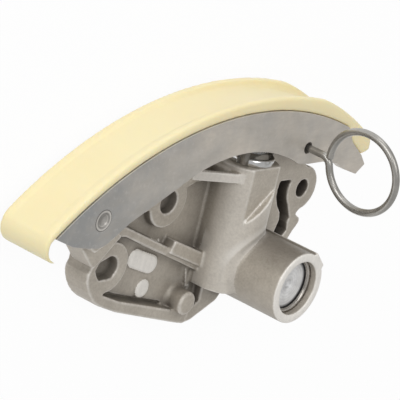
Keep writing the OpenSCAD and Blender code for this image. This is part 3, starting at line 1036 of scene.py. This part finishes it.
@dataclass
class LockPin:
    """The drawn wire pin with its elbow and pull ring, all in one upright plane, in millimetres."""

    node: str = "lock_pin"
    axis: tuple = (81.3, 11.9)
    plane: float = math.radians(278.0)
    wire: float = 1.05
    end_round: float = 0.35
    elbow: float = 3.0
    elbow_steps: int = 12
    ring: float = 11.3
    ring_z: float = 38.1
    ring_steps: int = 96
    closing: float = math.radians(348.0)
    sides: int = 24
    smooth: float = math.radians(50.0)

    def spot(self, out: float, up: float) -> Vector:
        """Finds a point in the ring's plane.

        Args:
            out: distance from the pin's axis.
            up: height above the mounting face.

        Returns:
            The point in metres.
        """
        x, y = self.axis
        return from_pivot(x + out * math.cos(self.plane), y + out * math.sin(self.plane), up)

    def build(self, material: bpy.types.Material) -> bpy.types.Object:
        """Draws the wire from its tip, up the shank, round the elbow and round the ring.

        Args:
            material: the wire's finish.

        Returns:
            The piece.
        """
        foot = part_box(self.node)[0].z / MM
        turn = math.acos(self.elbow / (self.ring + self.elbow))
        bend_z = self.ring_z - (self.ring + self.elbow) * math.sin(turn)
        narrow = (self.wire - self.end_round) / self.wire
        start = Matrix.Translation(self.spot(0.0, foot)) @ Matrix.Rotation(self.plane, 4, "Z")
        mesh = bmesh.new()
        tip = bmesh.ops.create_circle(mesh, cap_ends=True, segments=self.sides,
                                      radius=self.wire * narrow * MM, matrix=start)
        loop = list({edge for vert in tip["verts"] for edge in vert.link_edges})
        loop = self.drawn(mesh, loop, Vector((0.0, 0.0, self.end_round * MM)), 1.0 / narrow)
        loop = self.drawn(mesh, loop, Vector((0.0, 0.0, (bend_z - foot - self.end_round) * MM)))
        loop = self.bent(mesh, loop, self.spot(self.elbow, bend_z), -turn, self.elbow_steps)
        loop = self.bent(mesh, loop, self.spot(0.0, self.ring_z), self.closing, self.ring_steps)
        end = self.closing - turn
        heading = self.spot(-math.sin(end), math.cos(end)) - self.spot(0.0, 0.0)
        loop = self.drawn(mesh, loop, heading * self.end_round, narrow)
        bmesh.ops.edgeloop_fill(mesh, edges=loop)
        bmesh.ops.recalc_face_normals(mesh, faces=mesh.faces)
        piece = new_piece(f"{self.node}_wire", mesh, material)
        shade_smooth(piece, self.smooth)
        return stand_in(piece, self.node, Body.PIN)

    def drawn(self, mesh: bmesh.types.BMesh, loop: list, onward: Vector, widen: float = 1.0) -> list:
        """Draws the wire's open end straight on.

        Args:
            mesh: the wire so far.
            loop: the edges of its open end.
            onward: how far and which way, in metres.
            widen: the new end's width as a share of the old one's.

        Returns:
            The edges of the new end.
        """
        made = bmesh.ops.extrude_edge_only(mesh, edges=loop)["geom"]
        verts = [part for part in made if isinstance(part, bmesh.types.BMVert)]
        bmesh.ops.translate(mesh, vec=onward, verts=verts)
        centre = sum((vert.co for vert in verts), Vector()) / len(verts)
        bmesh.ops.scale(mesh, vec=(widen, widen, widen), space=Matrix.Translation(-centre), verts=verts)
        return [part for part in made if isinstance(part, bmesh.types.BMEdge) and part.is_boundary]

    def bent(self, mesh: bmesh.types.BMesh, loop: list, centre: Vector, angle: float, steps: int) -> list:
        """Bends the wire's open end round a centre in the ring's plane.

        Args:
            mesh: the wire so far.
            loop: the edges of its open end.
            centre: the bend's centre, in metres.
            angle: the bend in radians, from outwards to upwards.
            steps: stations along the bend.

        Returns:
            The edges of the new end.
        """
        hinge = (math.sin(self.plane), -math.cos(self.plane), 0.0)
        verts = list({vert for edge in loop for vert in edge.verts})
        made = bmesh.ops.spin(mesh, geom=verts + loop, cent=centre, axis=hinge, angle=angle, steps=steps)
        return [part for part in made["geom_last"] if isinstance(part, bmesh.types.BMEdge)]


@dataclass(frozen=True)
class SmoothPart:
    """A turned or rolled piece: its solid with its round faces shaded smooth."""

    node: str
    body: Body
    slot: str
    finish: SmallFinish
    sharp: float = math.radians(32.0)

    def build(self, material: bpy.types.Material) -> bpy.types.Object:
        """Makes the piece in place of its node.

        Args:
            material: the piece's finish.

        Returns:
            The piece.
        """
        piece = new_piece(f"{self.node}_turned", merged_copy(self.node), material)
        shade_smooth(piece, self.sharp)
        return stand_in(piece, self.node, self.body)


@dataclass
class SmallParts:
    """The small pieces: those that keep their CAD mesh, those that are shaded smooth, and the lock pin."""

    plain: dict = field(default_factory=lambda: {
        "check_ball": SmallFinish.GROUND,
        "valve_seat": SmallFinish.GROUND,
        "valve_cage": SmallFinish.RING,
        "plunger_spring": SmallFinish.SPRING,
        "valve_spring": SmallFinish.SPRING,
        "pivot_bush": SmallFinish.BRONZE,
        "gallery_plug": SmallFinish.RING,
        "inlet_strainer": SmallFinish.RING,
        "plug_seal_ring": SmallFinish.RUBBER,
        "plunger_filler": SmallFinish.FILLER,
    })
    smooth: tuple = (
        SmoothPart("plunger", Body.PLUNGER, "bright_steel", SmallFinish.GROUND),
        SmoothPart("ratchet_clip", Body.HOUSING, "bright_steel", SmallFinish.GROUND),
        SmoothPart("pivot_pin", Body.ARM, "dull_steel", SmallFinish.RIVET),
        SmoothPart("reservoir_plug", Body.HOUSING, "plug_metal", SmallFinish.PLUG),
        SmoothPart("plug_snap_ring", Body.HOUSING, "dull_steel", SmallFinish.RING),
    )

    def build(self) -> None:
        """Makes the finishes and gives each piece its own."""
        made = {finish: finish.value.build() for finish in SmallFinish}
        for node, finish in self.plain.items():
            data = frame["nodes"][node].data
            data.materials.clear()
            data.materials.append(made[finish])
            LOG.info("%s: %s", node, finish.value.name)
        for part in self.smooth:
            part.build(made[part.finish])
        LockPin().build(made[SmallFinish.WIRE])


@dataclass(frozen=True)
class Lamp:
    """A square soft lamp with its side and place in metres, along the camera's axes, and its watts."""

    name: str
    back: float
    up: float
    right: float
    side: float
    power: float


@dataclass
class Studio:
    """Pale floor, soft light and the camera, which is placed in millimetres from the arm's pivot."""

    eye: tuple = (-446.6, 194.1, 371.5)
    right: tuple = (0.6297, 0.2212, 0.7446)
    up: tuple = (0.1042, 0.9259, -0.3632)
    back: tuple = (-0.7698, 0.3063, 0.56)
    lens: float = 216.0
    sensor: float = 36.0
    clip: tuple = (0.01, 50.0)
    floor_size: float = 6.0
    floor_grey: float = 0.9
    floor_rough: float = 0.9
    floor_white: float = 0.95
    world: float = 0.58
    middle: tuple = (50.0, 0.0, 10.0)
    lamps: tuple = (
        Lamp("front", back=0.9, up=0.3, right=-0.2, side=0.5, power=2.4),
        Lamp("side", back=0.8, up=0.1, right=0.55, side=0.5, power=1.7),
        Lamp("top", back=0.3, up=0.85, right=0.2, side=0.6, power=1.6),
    )

    def build(self) -> None:
        """Makes floor, lights and camera."""
        self.floor()
        self.fill()
        for lamp in self.lamps:
            self.light(lamp)
        self.camera()

    def floor(self) -> None:
        """Makes the floor, nearly white to the camera and with a faint shadow."""
        mesh = bmesh.new()
        bmesh.ops.create_grid(mesh, x_segments=1, y_segments=1, size=self.floor_size)
        n = Nodes("pale_floor")
        piece = new_piece("floor", mesh, n.material)
        n.set("Base Color", (self.floor_grey, self.floor_grey, self.floor_grey))
        n.set("Roughness", self.floor_rough)
        path = n.add("ShaderNodeLightPath")
        seen = n.math("MAXIMUM", path.outputs["Is Camera Ray"], path.outputs["Is Glossy Ray"])
        glow = n.add("ShaderNodeEmission", Color=(1.0, 1.0, 1.0, 1.0))
        joined = n.add("ShaderNodeMixShader")
        n.link(n.times(seen, self.floor_white), joined.inputs[0])
        n.link(n.shader.outputs[0], joined.inputs[1])
        n.link(glow.outputs[0], joined.inputs[2])
        n.link(joined.outputs[0], n.tree.nodes["Material Output"].inputs["Surface"])

    def fill(self) -> None:
        """Makes the world's even light."""
        world = bpy.data.worlds.new("studio")
        bpy.context.scene.world = world
        world.use_nodes = True
        fill = world.node_tree.nodes["Background"]
        fill.inputs["Color"].default_value = (1.0, 1.0, 1.0, 1.0)
        fill.inputs["Strength"].default_value = self.world

    def light(self, lamp: Lamp) -> None:
        """Makes one lamp that faces the object.

        Args:
            lamp: its place, size and power.
        """
        data = bpy.data.lights.new(lamp.name, "AREA")
        data.size = lamp.side
        data.energy = lamp.power
        offset = Vector(self.back) * lamp.back + Vector(self.up) * lamp.up + Vector(self.right) * lamp.right
        light = bpy.data.objects.new(lamp.name, data)
        light.location = from_pivot(*self.middle) + offset
        light.rotation_euler = (-offset).to_track_quat("-Z", "Y").to_euler()
        bpy.context.scene.collection.objects.link(light)

    def camera(self) -> None:
        """Makes the camera at the photograph's angle."""
        data = bpy.data.cameras.new("camera")
        data.sensor_width = self.sensor
        data.lens = self.lens
        data.clip_start, data.clip_end = self.clip
        camera = bpy.data.objects.new("camera", data)
        turn = Matrix((self.right, self.up, self.back)).transposed().to_4x4()
        camera.matrix_world = Matrix.Translation(from_pivot(*self.eye)) @ turn
        bpy.context.scene.collection.objects.link(camera)
        bpy.context.scene.camera = camera


def main() -> None:
    """Builds the dressed tensioner and its studio."""
    logging.basicConfig(level=logging.INFO, format="%(name)s %(message)s")
    bpy.context.scene.view_settings.view_transform = "Standard"
    Casting().build(CastFinish().build())
    ChainShoe().build(NylonFinish().build())
    Arm().build(SheetSteelFinish().build())
    SmallParts().build()
    Studio().build()


if __name__ == "__main__":
    main()
